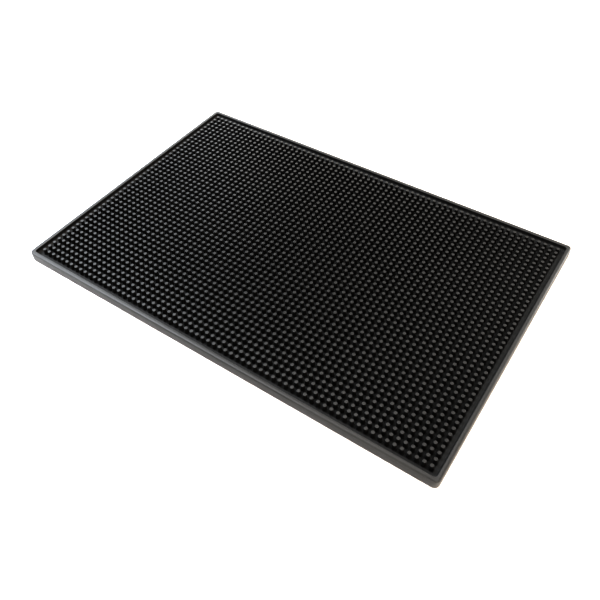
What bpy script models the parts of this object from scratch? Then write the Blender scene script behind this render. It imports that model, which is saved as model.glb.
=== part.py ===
"""Rectangular rubber bar mat: a flat sheet, a raised rim round its edge and a field of studs inside the rim.

The mat is one moulding. Each of its regions is an object of its own: the sheet, the four sides of the rim, mitred
at the corners, and the rows of studs. A row is a straight drafted ridge, as wide as its studs and as tall.
X runs along the long side, Y from front to back and Z up from the underside, in metres.
"""

import math

import bmesh
import bpy

MAT_LENGTH = 0.450
MAT_WIDTH = 0.300
CORNER_RADIUS = 0.0050

SHEET_THICKNESS = 0.0040

RIM_TOP = 0.0095
RIM_WIDTH = 0.0040
RIM_EDGE_RADIUS = 0.0009
COVE_RADIUS = 0.0025

STUD_ROWS = 45
STUD_TOP = 0.0100
STUD_TOP_DIAMETER = 0.0034
STUD_BASE_DIAMETER = 0.0041

# From the mat's edge to the middle of the outermost studs, at the short sides and at the long sides.
END_MARGIN = 0.0110
SIDE_MARGIN = 0.0113

# Clear space left between regions that touch on the real mat.
REGION_GAP = 0.0003

CORNER_STEPS = 6
EDGE_STEPS = 3
COVE_STEPS = 4
SAME_POINT = 0.000001

RUBBER_COLOUR = (0.012, 0.012, 0.013, 1.0)
RUBBER_ROUGHNESS = 0.5

HALF_LENGTH = MAT_LENGTH / 2
HALF_WIDTH = MAT_WIDTH / 2
REGION_FOOT = SHEET_THICKNESS + REGION_GAP
ROW_PITCH = (MAT_WIDTH - 2 * SIDE_MARGIN) / (STUD_ROWS - 1)


def clear_scene():
    for leftover in list(bpy.data.objects):
        bpy.data.objects.remove(leftover)


def rubber(name):
    """A satin black rubber without metal in it."""
    material = bpy.data.materials.new(name)
    material.use_nodes = True
    shader = material.node_tree.nodes["Principled BSDF"]
    shader.inputs["Base Color"].default_value = RUBBER_COLOUR
    shader.inputs["Roughness"].default_value = RUBBER_ROUGHNESS
    shader.inputs["Metallic"].default_value = 0.0
    return material


def finished_mesh(name, shape, material):
    """Turns a bmesh into a mesh with its faces pointing out, smooth over its rounded edges."""
    bmesh.ops.recalc_face_normals(shape, faces=shape.faces)
    mesh = bpy.data.meshes.new(name)
    shape.to_mesh(mesh)
    shape.free()
    mesh.materials.append(material)
    mesh.shade_smooth()
    mesh.set_sharp_from_angle(angle=math.radians(40))
    return mesh


def placed(name, mesh, location=(0.0, 0.0, 0.0)):
    region = bpy.data.objects.new(name, mesh)
    region.location = location
    bpy.context.scene.collection.objects.link(region)
    return region


def plan_loop(inset):
    """Points round the mat at this distance in from its edge. Past the corner radius the corners are sharp."""
    radius = max(CORNER_RADIUS - inset, 0.0)
    centre_x = HALF_LENGTH - max(inset, CORNER_RADIUS)
    centre_y = HALF_WIDTH - max(inset, CORNER_RADIUS)
    points = []
    for corner, (side_x, side_y) in enumerate(((1, 1), (-1, 1), (-1, -1), (1, -1))):
        for step in range(CORNER_STEPS + 1):
            turn = math.radians(90) * (corner + step / CORNER_STEPS)
            x = side_x * centre_x + radius * math.cos(turn)
            y = side_y * centre_y + radius * math.sin(turn)
            points.append((x, y))
    return points


def arc(centre_inset, centre_height, radius, start, end, steps):
    """Section points, as (distance in from the mat's edge, height), on an arc from one angle to another."""
    points = []
    for step in range(steps + 1):
        turn = math.radians(start + (end - start) * step / steps)
        points.append((centre_inset + radius * math.cos(turn), centre_height + radius * math.sin(turn)))
    return points


def rim_section():
    """The rim's section from its outer foot over the rounded top and down the cove to its inner foot."""
    edge_height = RIM_TOP - RIM_EDGE_RADIUS
    cove_inset = RIM_WIDTH + COVE_RADIUS
    cove_height = SHEET_THICKNESS + COVE_RADIUS
    foot_angle = 180 + math.degrees(math.asin((cove_height - REGION_FOOT) / COVE_RADIUS))
    outer_foot = [(0.0, REGION_FOOT)]
    outer_edge = arc(RIM_EDGE_RADIUS, edge_height, RIM_EDGE_RADIUS, 180, 90, EDGE_STEPS)
    inner_edge = arc(RIM_WIDTH - RIM_EDGE_RADIUS, edge_height, RIM_EDGE_RADIUS, 90, 0, EDGE_STEPS)
    cove = arc(cove_inset, cove_height, COVE_RADIUS, 180, foot_angle, COVE_STEPS)
    return outer_foot + outer_edge + inner_edge + cove


def rim_ring():
    """The whole rim as one closed ring: its section carried round the mat."""
    shape = bmesh.new()
    loops = []
    for inset, height in rim_section():
        loops.append([shape.verts.new((x, y, height)) for x, y in plan_loop(inset)])
    for loop, next_loop in zip(loops, loops[1:] + loops[:1]):
        for a in range(len(loop)):
            b = (a + 1) % len(loop)
            shape.faces.new((loop[a], loop[b], next_loop[b], next_loop[a]))
    bmesh.ops.remove_doubles(shape, verts=shape.verts, dist=SAME_POINT)
    return shape


def cut_away(shape, point, outward):
    """Removes what lies on the outward side of an upright plane, and closes the cut."""
    everything = shape.verts[:] + shape.edges[:] + shape.faces[:]
    bmesh.ops.bisect_plane(shape, geom=everything, plane_co=point, plane_no=outward, clear_outer=True)
    open_edges = [edge for edge in shape.edges if edge.is_boundary]
    bmesh.ops.holes_fill(shape, edges=open_edges, sides=0)


def make_sheet(material):
    shape = bmesh.new()
    outline = shape.faces.new([shape.verts.new((x, y, 0.0)) for x, y in plan_loop(0.0)])
    raised = bmesh.ops.extrude_face_region(shape, geom=[outline])["geom"]
    top = [item for item in raised if isinstance(item, bmesh.types.BMVert)]
    bmesh.ops.translate(shape, verts=top, vec=(0.0, 0.0, SHEET_THICKNESS))
    placed("base_sheet", finished_mesh("base_sheet", shape, material))


def make_rim_side(name, side_x, side_y, material):
    """One side of the rim, between the mitres at its two ends. One of side_x and side_y is zero."""
    shape = rim_ring()
    for end in (-1, 1):
        corner_x = side_x if side_x else end
        corner_y = side_y if side_y else end
        outward_x = -side_x if side_x else end
        outward_y = -side_y if side_y else end
        setback = REGION_GAP / 2 / math.sqrt(2)
        mitre = (corner_x * HALF_LENGTH - outward_x * setback, corner_y * HALF_WIDTH - outward_y * setback, 0.0)
        cut_away(shape, mitre, (outward_x, outward_y, 0.0))
    placed(name, finished_mesh(name, shape, material))


def stud_ridge(material):
    """A straight ridge along X that stands for one row of studs, drafted like them on all four sides."""
    half_run = HALF_LENGTH - END_MARGIN
    draft = (STUD_BASE_DIAMETER - STUD_TOP_DIAMETER) / 2 / (STUD_TOP - SHEET_THICKNESS)
    shape = bmesh.new()
    bmesh.ops.create_cube(shape, size=1.0)
    for vert in shape.verts:
        height = STUD_TOP if vert.co.z > 0 else REGION_FOOT
        reach = STUD_TOP_DIAMETER / 2 + draft * (STUD_TOP - height)
        vert.co.x = math.copysign(half_run + reach, vert.co.x)
        vert.co.y = math.copysign(reach, vert.co.y)
        vert.co.z = height
    return finished_mesh("stud_ridge", shape, material)


def make_stud_rows(material):
    ridge = stud_ridge(material)
    for row in range(STUD_ROWS):
        y = SIDE_MARGIN + row * ROW_PITCH - HALF_WIDTH
        placed(f"stud_row_{row + 1:02d}", ridge, (0.0, y, 0.0))


def make_rim(material):
    for name, side_x, side_y in (
        ("rim_front", 0, -1),
        ("rim_back", 0, 1),
        ("rim_left", -1, 0),
        ("rim_right", 1, 0),
    ):
        make_rim_side(name, side_x, side_y, material)


clear_scene()
make_sheet(rubber("sheet_rubber"))
make_rim(rubber("rim_rubber"))
make_stud_rows(rubber("stud_rubber"))
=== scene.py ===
import math

import bmesh
import bpy
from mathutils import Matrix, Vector


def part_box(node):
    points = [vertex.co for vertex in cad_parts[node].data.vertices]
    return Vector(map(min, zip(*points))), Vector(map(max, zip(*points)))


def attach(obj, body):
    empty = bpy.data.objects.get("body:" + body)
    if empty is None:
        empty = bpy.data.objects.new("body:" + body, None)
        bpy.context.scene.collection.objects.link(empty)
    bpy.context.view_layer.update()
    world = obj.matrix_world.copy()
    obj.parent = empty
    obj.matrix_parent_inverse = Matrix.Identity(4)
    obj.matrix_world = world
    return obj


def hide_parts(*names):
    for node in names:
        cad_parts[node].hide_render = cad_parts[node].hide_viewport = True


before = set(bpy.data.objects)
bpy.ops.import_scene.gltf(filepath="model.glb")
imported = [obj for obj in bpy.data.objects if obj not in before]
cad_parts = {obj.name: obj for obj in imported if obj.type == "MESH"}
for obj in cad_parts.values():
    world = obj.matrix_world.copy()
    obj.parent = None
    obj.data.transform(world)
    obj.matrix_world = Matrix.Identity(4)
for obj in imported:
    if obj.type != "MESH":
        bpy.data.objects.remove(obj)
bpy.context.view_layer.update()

# ---------------------------------------------------------------- sizes, in metres

sheet_low, sheet_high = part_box("base_sheet")
first_row_low, first_row_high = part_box("stud_row_01")
last_row_low, last_row_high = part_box("stud_row_45")
rim_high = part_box("rim_front")[1]

MAT_LENGTH = sheet_high.x - sheet_low.x
MAT_WIDTH = sheet_high.y - sheet_low.y
FLOOR_HEIGHT = sheet_high.z
RIM_TOP = rim_high.z
STUD_TOP = first_row_high.z

CORNER_RADIUS = 0.0050
CORNER_STEPS = 8
INNER_CORNER_RADIUS = 0.0030
INNER_CORNER_STEPS = 6
RIM_WIDTH = 0.0040
RIM_EDGE_ROUND = 0.0009
RIM_INNER_EDGE_ROUND = 0.0004
RIM_EDGE_STEPS = 3
COVE_RADIUS = 0.0025
COVE_STEPS = 5
UNDER_EDGE_ROUND = 0.00015
UNDER_EDGE_STEPS = 2

STUD_ROWS = 45
STUDS_IN_ROW = 68
STUD_TOP_RADIUS = 0.0017
STUD_FOOT_RADIUS = (first_row_high.y - first_row_low.y) / 2
STUD_EDGE_ROUND = 0.0002
STUD_EDGE_STEPS = 2
STUD_ROOT = 0.0003
STUD_SIDES = 14

FIRST_STUD_X = first_row_low.x + STUD_FOOT_RADIUS
FIRST_ROW_Y = (first_row_low.y + first_row_high.y) / 2
LAST_ROW_Y = (last_row_low.y + last_row_high.y) / 2
STUD_PITCH = -2 * FIRST_STUD_X / (STUDS_IN_ROW - 1)
ROW_PITCH = (LAST_ROW_Y - FIRST_ROW_Y) / (STUD_ROWS - 1)

# Half the length and width of the floor under the studs, which reaches a little past them.
FIELD_MARGIN = 0.0003
FIELD_X = FIELD_MARGIN - first_row_low.x
FIELD_Y = FIELD_MARGIN - first_row_low.y

LOOKS_UP = 0.9
NEAR_MIDDLE = 0.01
TINY = 0.00002
SMOOTH_ANGLE = 40

# ---------------------------------------------------------------- rubber

SHINE = 0.5
# The lower shine of the shaded copies of the rubber: painted shade, darkening the floor and the stud sides
# between the studs.
PAINTED_SHADE_SHINE = 0.2

FRESH_DARK = (0.0028, 0.0028, 0.0029, 1)
FRESH_LIGHT = (0.0044, 0.0044, 0.0045, 1)
# The stud and rim colours are a painted highlight: a lighter grey on high faces that look up, standing in
# for the light they catch.
STUD_DARK = (0.004, 0.004, 0.004, 1)
STUD_LIGHT = (0.009, 0.009, 0.009, 1)
RIM_DARK = (0.012, 0.012, 0.012, 1)
RIM_LIGHT = (0.018, 0.018, 0.018, 1)

FRESH_ROUGHNESS = 0.36
FRESH_SPREAD = 0.03
RUBBED_ROUGHNESS = 0.35
RUBBED_SPREAD = 0.04
SHELTERED_ROUGHNESS = 0.62

# From its first height to its second the painted highlight and the wear set in, and the shelter of the
# hollow ends.
HIGHLIGHT_AND_WEAR_HEIGHTS = (RIM_TOP - 0.0012, RIM_TOP - 0.0002)
SHELTERED_HEIGHTS = (FLOOR_HEIGHT + 0.0005, RIM_TOP - 0.001)

# How far up a face looks, as the upward part of its normal, where the painted highlight and the wear set in
# and where they are full.
HIGHLIGHT_AND_WEAR_FACING = (0.25, 0.85)
# The least share of the painted highlight and the wear, where the patches are faintest.
LEAST_HIGHLIGHT_AND_WEAR = 0.8

# The part of a noise pattern's range that is stretched to the whole.
NOISE_MIDDLE = (0.3, 0.7)

# Where a Mix node has its two inputs and its output, for numbers and for colours.
MIX_SOCKETS = {"FLOAT": (2, 3, 0), "RGBA": (6, 7, 2)}

GRAIN_STRENGTH = 0.2
GRAIN_DEPTH = 0.0001
WAVES_SHARE = 0.6

# ---------------------------------------------------------------- floor, light and camera

FLOOR_SIZE = 12
FLOOR_DROP = 0.00005
FLOOR_COLOUR = (0.8, 0.8, 0.8, 1)
FLOOR_ROUGHNESS = 0.9

COOL_WHITE = (0.95, 1.00, 1.06)
NEUTRAL_WHITE = (1.03, 1.0, 0.95)
WARM_WHITE = (1.16, 1.0, 0.82)

WORLD_COLOUR = (1.0, 0.98, 0.94, 1)
WORLD_STRENGTH = 0.35

# Each lamp: name, azimuth and elevation in degrees, radiance, colour. Azimuth runs from +Y towards +X.
# The near ones stand by the mat's left end, so its brightness falls off to the right.
NEAR_DISTANCE = 0.9
NEAR_SIZE = (0.5, 0.5)
NEAR_LAMPS = (
    ("left_softbox", -90, 45, 3.8, COOL_WHITE),
    ("low_left_softbox", -90, 25, 1.3, COOL_WHITE),
    ("high_left_softbox", -90, 62, 4.8, COOL_WHITE),
    ("front_left_softbox", -120, 25, 6.4, COOL_WHITE),
    ("mid_left_softbox", -110, 45, 5.5, COOL_WHITE),
    ("back_left_softbox", -60, 25, 4.2, COOL_WHITE),
)
FAR_DISTANCE = 2.0
FAR_SIZE = (1.0, 0.9)
FAR_LAMPS = (
    ("overhead_softbox", -45, 75, 5.7, NEUTRAL_WHITE),
    ("far_left_softbox", -30, 22, 5.2, NEUTRAL_WHITE),
    ("high_back_softbox", 0, 48, 2.7, NEUTRAL_WHITE),
    ("back_softbox", 30, 22, 15.3, NEUTRAL_WHITE),
    ("back_right_softbox", 60, 22, 10.1, WARM_WHITE),
    ("right_softbox", 90, 22, 6.4, WARM_WHITE),
    ("high_right_softbox", 90, 48, 1.4, WARM_WHITE),
    ("front_right_softbox", 120, 22, 10.1, WARM_WHITE),
    ("near_right_softbox", 150, 22, 4.2, WARM_WHITE),
    ("front_softbox", 180, 22, 7.6, NEUTRAL_WHITE),
)

CAMERA_PLACE = (0.2640, -0.3785, 0.4587)
CAMERA_TURN = (41.270, 0.937, 33.875)
CAMERA_LENS = 38.75
CAMERA_SENSOR = 36

CONTRAST_GAMMA = 0.714


# ---------------------------------------------------------------- modelling helpers


def deselect_objects():
    bpy.ops.object.select_all(action="DESELECT")


def make_active(piece):
    deselect_objects()
    piece.select_set(True)
    bpy.context.view_layer.objects.active = piece


def open_for_editing(piece):
    make_active(piece)
    bpy.ops.object.mode_set(mode="EDIT")


def close_editing():
    bpy.ops.mesh.select_all(action="SELECT")
    bpy.ops.mesh.normals_make_consistent(inside=False)
    bpy.ops.object.mode_set(mode="OBJECT")


def pick_faces(test):
    """Selects the faces of the mesh in edit mode whose middle and normal pass the test."""
    bpy.ops.mesh.select_mode(type="FACE")
    bpy.ops.mesh.select_all(action="DESELECT")
    mesh = bmesh.from_edit_mesh(bpy.context.edit_object.data)
    for face in mesh.faces:
        face.select_set(bool(test(face.calc_center_median(), face.normal)))
    bmesh.update_edit_mesh(bpy.context.edit_object.data)


def pick_edges(test):
    """Selects the edges of the mesh in edit mode whose two ends pass the test."""
    bpy.ops.mesh.select_mode(type="EDGE")
    bpy.ops.mesh.select_all(action="DESELECT")
    mesh = bmesh.from_edit_mesh(bpy.context.edit_object.data)
    for edge in mesh.edges:
        edge.select_set(bool(test(edge.verts[0].co, edge.verts[1].co)))
    bmesh.update_edit_mesh(bpy.context.edit_object.data)


def round_edges(test, radius, steps):
    pick_edges(test)
    bpy.ops.mesh.bevel(offset=radius, segments=steps, affect="EDGES")


def at_height(a, b, height):
    return abs(a.z - height) < TINY and abs(b.z - height) < TINY


def upright(a, b, length):
    return abs(abs(a.z - b.z) - length) < TINY


def off_outline(point, inset, radius):
    """How far a point is, from above, off the mat's outline moved in by inset, with this corner radius."""
    past_x = abs(point.x) - (MAT_LENGTH / 2 - inset - radius)
    past_y = abs(point.y) - (MAT_WIDTH / 2 - inset - radius)
    if past_x > 0 and past_y > 0:
        return abs(math.hypot(past_x, past_y) - radius)
    return abs(max(past_x, past_y) - radius)


def on_loop(a, b, height, inset, radius):
    """Whether an edge runs along such an outline at this height."""
    if not at_height(a, b, height):
        return False
    return off_outline(a, inset, radius) < TINY and off_outline(b, inset, radius) < TINY


# ---------------------------------------------------------------- the moulded tray: sheet and rim


def cut_floor(place, across):
    """Divides the flat floor of the hollow along an upright plane."""
    pick_faces(lambda middle, normal: normal.z > LOOKS_UP and abs(middle.z - FLOOR_HEIGHT) < TINY)
    bpy.ops.mesh.bisect(plane_co=place, plane_no=across)


def make_tray():
    """Sheet and rim in one shell: a block hollowed to the floor, then rounded at its corners and edges."""
    deselect_objects()
    bpy.ops.mesh.primitive_cube_add(
        size=1,
        location=(0, 0, RIM_TOP / 2),
        scale=(MAT_LENGTH, MAT_WIDTH, RIM_TOP),
    )
    tray = bpy.context.object
    tray.name = "moulded_tray"
    bpy.ops.object.transform_apply(location=True, rotation=True, scale=True)
    open_for_editing(tray)

    pick_faces(lambda middle, normal: normal.z > LOOKS_UP)
    bpy.ops.mesh.inset(thickness=RIM_WIDTH)
    bpy.ops.mesh.extrude_region_move(TRANSFORM_OT_translate={"value": (0, 0, FLOOR_HEIGHT - RIM_TOP)})

    hollow_depth = RIM_TOP - FLOOR_HEIGHT
    inner = (RIM_WIDTH, INNER_CORNER_RADIUS)
    outer = (0, CORNER_RADIUS)
    round_edges(lambda a, b: upright(a, b, hollow_depth), INNER_CORNER_RADIUS, INNER_CORNER_STEPS)
    round_edges(lambda a, b: on_loop(a, b, FLOOR_HEIGHT, *inner), COVE_RADIUS, COVE_STEPS)
    round_edges(lambda a, b: on_loop(a, b, RIM_TOP, *inner), RIM_INNER_EDGE_ROUND, RIM_EDGE_STEPS)
    round_edges(lambda a, b: upright(a, b, RIM_TOP), CORNER_RADIUS, CORNER_STEPS)
    round_edges(lambda a, b: on_loop(a, b, RIM_TOP, *outer), RIM_EDGE_ROUND, RIM_EDGE_STEPS)
    round_edges(lambda a, b: on_loop(a, b, 0, *outer), UNDER_EDGE_ROUND, UNDER_EDGE_STEPS)

    for side in (-1, 1):
        cut_floor((side * FIELD_X, 0, 0), (1, 0, 0))
    for side in (-1, 1):
        cut_floor((0, side * FIELD_Y, 0), (0, 1, 0))
    close_editing()
    return tray


def under_the_studs(face):
    """Whether this is the floor's middle face, between the four cuts."""
    return face.normal.z > LOOKS_UP and face.center.length < NEAR_MIDDLE


# ---------------------------------------------------------------- the studs


def make_stud():
    """One round stud: drafted, its top edge rounded, its root sunk into the floor."""
    foot = FLOOR_HEIGHT - STUD_ROOT
    deselect_objects()
    bpy.ops.mesh.primitive_cylinder_add(
        vertices=STUD_SIDES,
        radius=STUD_FOOT_RADIUS,
        depth=STUD_TOP - foot,
        location=(0, 0, (STUD_TOP + foot) / 2),
    )
    stud = bpy.context.object
    bpy.ops.object.transform_apply(location=True, rotation=True, scale=True)
    open_for_editing(stud)

    pick_faces(lambda middle, normal: normal.z > LOOKS_UP)
    narrowing = STUD_TOP_RADIUS / STUD_FOOT_RADIUS
    bpy.ops.transform.resize(value=(narrowing, narrowing, 1))
    round_edges(lambda a, b: at_height(a, b, STUD_TOP), STUD_EDGE_ROUND, STUD_EDGE_STEPS)
    close_editing()
    return stud


def below_the_top(face):
    """Whether this is on a stud's side or underside, and not on its top or the rounded edge around it."""
    return face.center.z < STUD_TOP - 2 * STUD_EDGE_ROUND


def make_stud_rows(top_finish, side_finish):
    """The first row is the stud repeated along the mat, and every other row is a copy of it further back."""
    first = make_stud()
    first.name = "studs_01"
    first.location = (FIRST_STUD_X, FIRST_ROW_Y, 0)
    repeat = first.modifiers.new("along_the_row", "ARRAY")
    repeat.count = STUDS_IN_ROW
    repeat.use_relative_offset = False
    repeat.use_constant_offset = True
    repeat.constant_offset_displace = (STUD_PITCH, 0, 0)
    bpy.ops.object.modifier_apply(modifier=repeat.name)
    bpy.ops.object.transform_apply(location=True, rotation=True, scale=True)

    dress(first, top_finish, side_finish, below_the_top)
    even_shading = first.modifiers.new("even_shading", "WEIGHTED_NORMAL")
    even_shading.keep_sharp = True
    bpy.ops.object.modifier_apply(modifier=even_shading.name)

    rows = [first]
    for number in range(2, STUD_ROWS + 1):
        row = first.copy()
        row.data = first.data.copy()
        row.name = f"studs_{number:02d}"
        bpy.context.scene.collection.objects.link(row)
        for vert in row.data.vertices:
            vert.co.y += (number - 1) * ROW_PITCH
        rows.append(row)
    return rows


# ---------------------------------------------------------------- materials


def add_node(tree, kind, **settings):
    node = tree.nodes.new(kind)
    for name, value in settings.items():
        setattr(node, name, value)
    return node


def feed(tree, value, socket):
    """Links an output to a socket, or sets the socket to a plain number or colour."""
    if isinstance(value, bpy.types.NodeSocket):
        tree.links.new(value, socket)
    else:
        socket.default_value = value


def mix(tree, kind, amount, low, high):
    """Blends two numbers or two colours, by how much of the second."""
    first, second, result = MIX_SOCKETS[kind]
    blend = add_node(tree, "ShaderNodeMix", data_type=kind)
    feed(tree, amount, blend.inputs[0])
    feed(tree, low, blend.inputs[first])
    feed(tree, high, blend.inputs[second])
    return blend.outputs[result]


def calculate(tree, operation, first, second=0.0):
    step = add_node(tree, "ShaderNodeMath", operation=operation)
    feed(tree, first, step.inputs[0])
    feed(tree, second, step.inputs[1])
    return step.outputs["Value"]


def noise(tree, place, scale, detail):
    pattern = add_node(tree, "ShaderNodeTexNoise")
    pattern.inputs["Scale"].default_value = scale
    pattern.inputs["Detail"].default_value = detail
    tree.links.new(place, pattern.inputs["Vector"])
    return pattern.outputs["Fac"]


def ramp(tree, value, low, high, bottom=0.0, top=1.0):
    """Stretches a value so that low becomes bottom and high becomes top, and no further."""
    stretch = add_node(tree, "ShaderNodeMapRange")
    stretch.inputs["From Min"].default_value = low
    stretch.inputs["From Max"].default_value = high
    stretch.inputs["To Min"].default_value = bottom
    stretch.inputs["To Max"].default_value = top
    tree.links.new(value, stretch.inputs["Value"])
    return stretch.outputs["Result"]


def contrasty(tree, pattern, bottom=0.0, top=1.0):
    """A noise pattern with the middle of its range stretched from bottom to top."""
    return ramp(tree, pattern, *NOISE_MIDDLE, bottom, top)


def split_axes(tree, vector):
    parts = add_node(tree, "ShaderNodeSeparateXYZ")
    tree.links.new(vector, parts.inputs[0])
    return parts.outputs


def in_the_hollow(tree, across):
    """Is 1 inside the rim, and 0 on it and outside it."""
    off_x = calculate(tree, "ABSOLUTE", across["X"])
    off_y = calculate(tree, "ABSOLUTE", across["Y"])
    past_x = calculate(tree, "SUBTRACT", off_x, MAT_LENGTH / 2 - RIM_WIDTH)
    past_y = calculate(tree, "SUBTRACT", off_y, MAT_WIDTH / 2 - RIM_WIDTH)
    return calculate(tree, "LESS_THAN", calculate(tree, "MAXIMUM", past_x, past_y), 0.0)


def rubber_finish(name, shine, highlight_dark, highlight_light):
    """Black moulded rubber, with a painted highlight of lighter grey on high faces that look up, which are
    also polished by wear, and dull where nothing reaches.
    """
    material = bpy.data.materials.new(name)
    material.use_nodes = True
    tree = material.node_tree
    shader = tree.nodes["Principled BSDF"]
    shader.inputs["Metallic"].default_value = 0.0
    shader.inputs["Specular IOR Level"].default_value = shine

    place = add_node(tree, "ShaderNodeTexCoord").outputs["Object"]
    across = split_axes(tree, place)
    facing = split_axes(tree, add_node(tree, "ShaderNodeNewGeometry").outputs["Normal"])
    clouds = noise(tree, place, scale=45, detail=4)
    patches = noise(tree, place, scale=210, detail=2)
    specks = noise(tree, place, scale=900, detail=3)

    # Only high faces that look up get the painted highlight and the polish of wear, and not evenly.
    high = ramp(tree, across["Z"], *HIGHLIGHT_AND_WEAR_HEIGHTS)
    upward = ramp(tree, facing["Z"], *HIGHLIGHT_AND_WEAR_FACING)
    raised = calculate(tree, "MULTIPLY", high, upward)
    highlight_and_wear = calculate(tree, "MULTIPLY", raised, contrasty(tree, patches, LEAST_HIGHLIGHT_AND_WEAR, 1.0))

    fresh_colour = mix(tree, "RGBA", contrasty(tree, clouds), FRESH_DARK, FRESH_LIGHT)
    # The painted highlight: a lighter grey on high faces that look up, standing in for the light they catch.
    highlight_colour = mix(tree, "RGBA", contrasty(tree, specks), highlight_dark, highlight_light)
    feed(tree, mix(tree, "RGBA", highlight_and_wear, fresh_colour, highlight_colour), shader.inputs["Base Color"])

    # Low in the hollow nothing touches the rubber, so it keeps the dull skin of the mould.
    depth = ramp(tree, across["Z"], *SHELTERED_HEIGHTS, 1.0, 0.0)
    sheltered = calculate(tree, "MULTIPLY", in_the_hollow(tree, across), depth)
    fresh = contrasty(tree, clouds, FRESH_ROUGHNESS - FRESH_SPREAD, FRESH_ROUGHNESS + FRESH_SPREAD)
    unrubbed = mix(tree, "FLOAT", sheltered, fresh, SHELTERED_ROUGHNESS)
    rubbed = contrasty(tree, specks, RUBBED_ROUGHNESS - RUBBED_SPREAD, RUBBED_ROUGHNESS + RUBBED_SPREAD)
    feed(tree, mix(tree, "FLOAT", highlight_and_wear, unrubbed, rubbed), shader.inputs["Roughness"])

    grain = noise(tree, place, scale=2500, detail=3)
    waves = noise(tree, place, scale=160, detail=1)
    bump = add_node(tree, "ShaderNodeBump")
    bump.inputs["Strength"].default_value = GRAIN_STRENGTH
    bump.inputs["Distance"].default_value = GRAIN_DEPTH
    relief = calculate(tree, "ADD", grain, calculate(tree, "MULTIPLY", waves, WAVES_SHARE))
    feed(tree, relief, bump.inputs["Height"])
    feed(tree, bump.outputs["Normal"], shader.inputs["Normal"])
    return material


def dress(piece, finish, shaded_finish, is_shaded):
    """Gives a piece its finish, or the shaded copy with less shine, a painted shade, where the test says so,
    and shades its edges smooth.
    """
    piece.data.materials.clear()
    piece.data.materials.append(finish)
    piece.data.materials.append(shaded_finish)
    for face in piece.data.polygons:
        if is_shaded(face):
            face.material_index = 1
    make_active(piece)
    bpy.ops.object.shade_smooth_by_angle(angle=math.radians(SMOOTH_ANGLE))


# ---------------------------------------------------------------- the studio


def make_floor():
    deselect_objects()
    bpy.ops.mesh.primitive_plane_add(size=FLOOR_SIZE, location=(0, 0, -FLOOR_DROP))
    floor = bpy.context.object
    floor.name = "studio_floor"
    paint = bpy.data.materials.new("pale_floor")
    paint.use_nodes = True
    shader = paint.node_tree.nodes["Principled BSDF"]
    shader.inputs["Base Color"].default_value = FLOOR_COLOUR
    shader.inputs["Roughness"].default_value = FLOOR_ROUGHNESS
    floor.data.materials.append(paint)


def softbox(name, azimuth, elevation, radiance, colour, distance, size):
    """A rectangular lamp that faces the mat."""
    turn = math.radians(azimuth)
    rise = math.radians(elevation)
    direction = Vector((math.sin(turn) * math.cos(rise), math.cos(turn) * math.cos(rise), math.sin(rise)))
    width, height = size
    lamp = bpy.data.lights.new(name, "AREA")
    lamp.shape = "RECTANGLE"
    lamp.size = width
    lamp.size_y = height
    lamp.energy = radiance * math.pi * width * height
    lamp.color = colour
    holder = bpy.data.objects.new(name, lamp)
    holder.location = direction * distance
    holder.rotation_euler = direction.to_track_quat("Z", "Y").to_euler()
    bpy.context.scene.collection.objects.link(holder)


def light_studio():
    world = bpy.data.worlds.new("studio")
    world.use_nodes = True
    background = world.node_tree.nodes["Background"]
    background.inputs["Color"].default_value = WORLD_COLOUR
    background.inputs["Strength"].default_value = WORLD_STRENGTH
    bpy.context.scene.world = world
    for lamp in NEAR_LAMPS:
        softbox(*lamp, NEAR_DISTANCE, NEAR_SIZE)
    for lamp in FAR_LAMPS:
        softbox(*lamp, FAR_DISTANCE, FAR_SIZE)


def place_camera():
    camera = bpy.data.cameras.new("camera")
    camera.sensor_width = CAMERA_SENSOR
    camera.lens = CAMERA_LENS
    holder = bpy.data.objects.new("camera", camera)
    holder.location = CAMERA_PLACE
    holder.rotation_euler = [math.radians(angle) for angle in CAMERA_TURN]
    bpy.context.scene.collection.objects.link(holder)
    bpy.context.scene.camera = holder


# ---------------------------------------------------------------- the mat

place_camera()
light_studio()
make_floor()

tray = make_tray()
rim_rubber = rubber_finish("tray_rubber", SHINE, RIM_DARK, RIM_LIGHT)
# The floor under the studs gets the shaded copy with less shine: painted shade between the studs.
field_shaded_rubber = rubber_finish("stud_field_shaded_rubber", PAINTED_SHADE_SHINE, STUD_DARK, STUD_LIGHT)
dress(tray, rim_rubber, field_shaded_rubber, under_the_studs)
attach(tray, "root")
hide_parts("base_sheet", "rim_front", "rim_back", "rim_left", "rim_right")

top_rubber = rubber_finish("stud_rubber", SHINE, STUD_DARK, STUD_LIGHT)
# The studs' sides get the shaded copy with less shine: painted shade between the studs.
side_shaded_rubber = rubber_finish("stud_side_rubber", PAINTED_SHADE_SHINE, STUD_DARK, STUD_LIGHT)
for row in make_stud_rows(top_rubber, side_shaded_rubber):
    node = row.name.replace("studs", "stud_row")
    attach(row, "root")
    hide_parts(node)

bpy.context.scene.view_settings.view_transform = "Standard"
bpy.context.scene.view_settings.gamma = CONTRAST_GAMMA
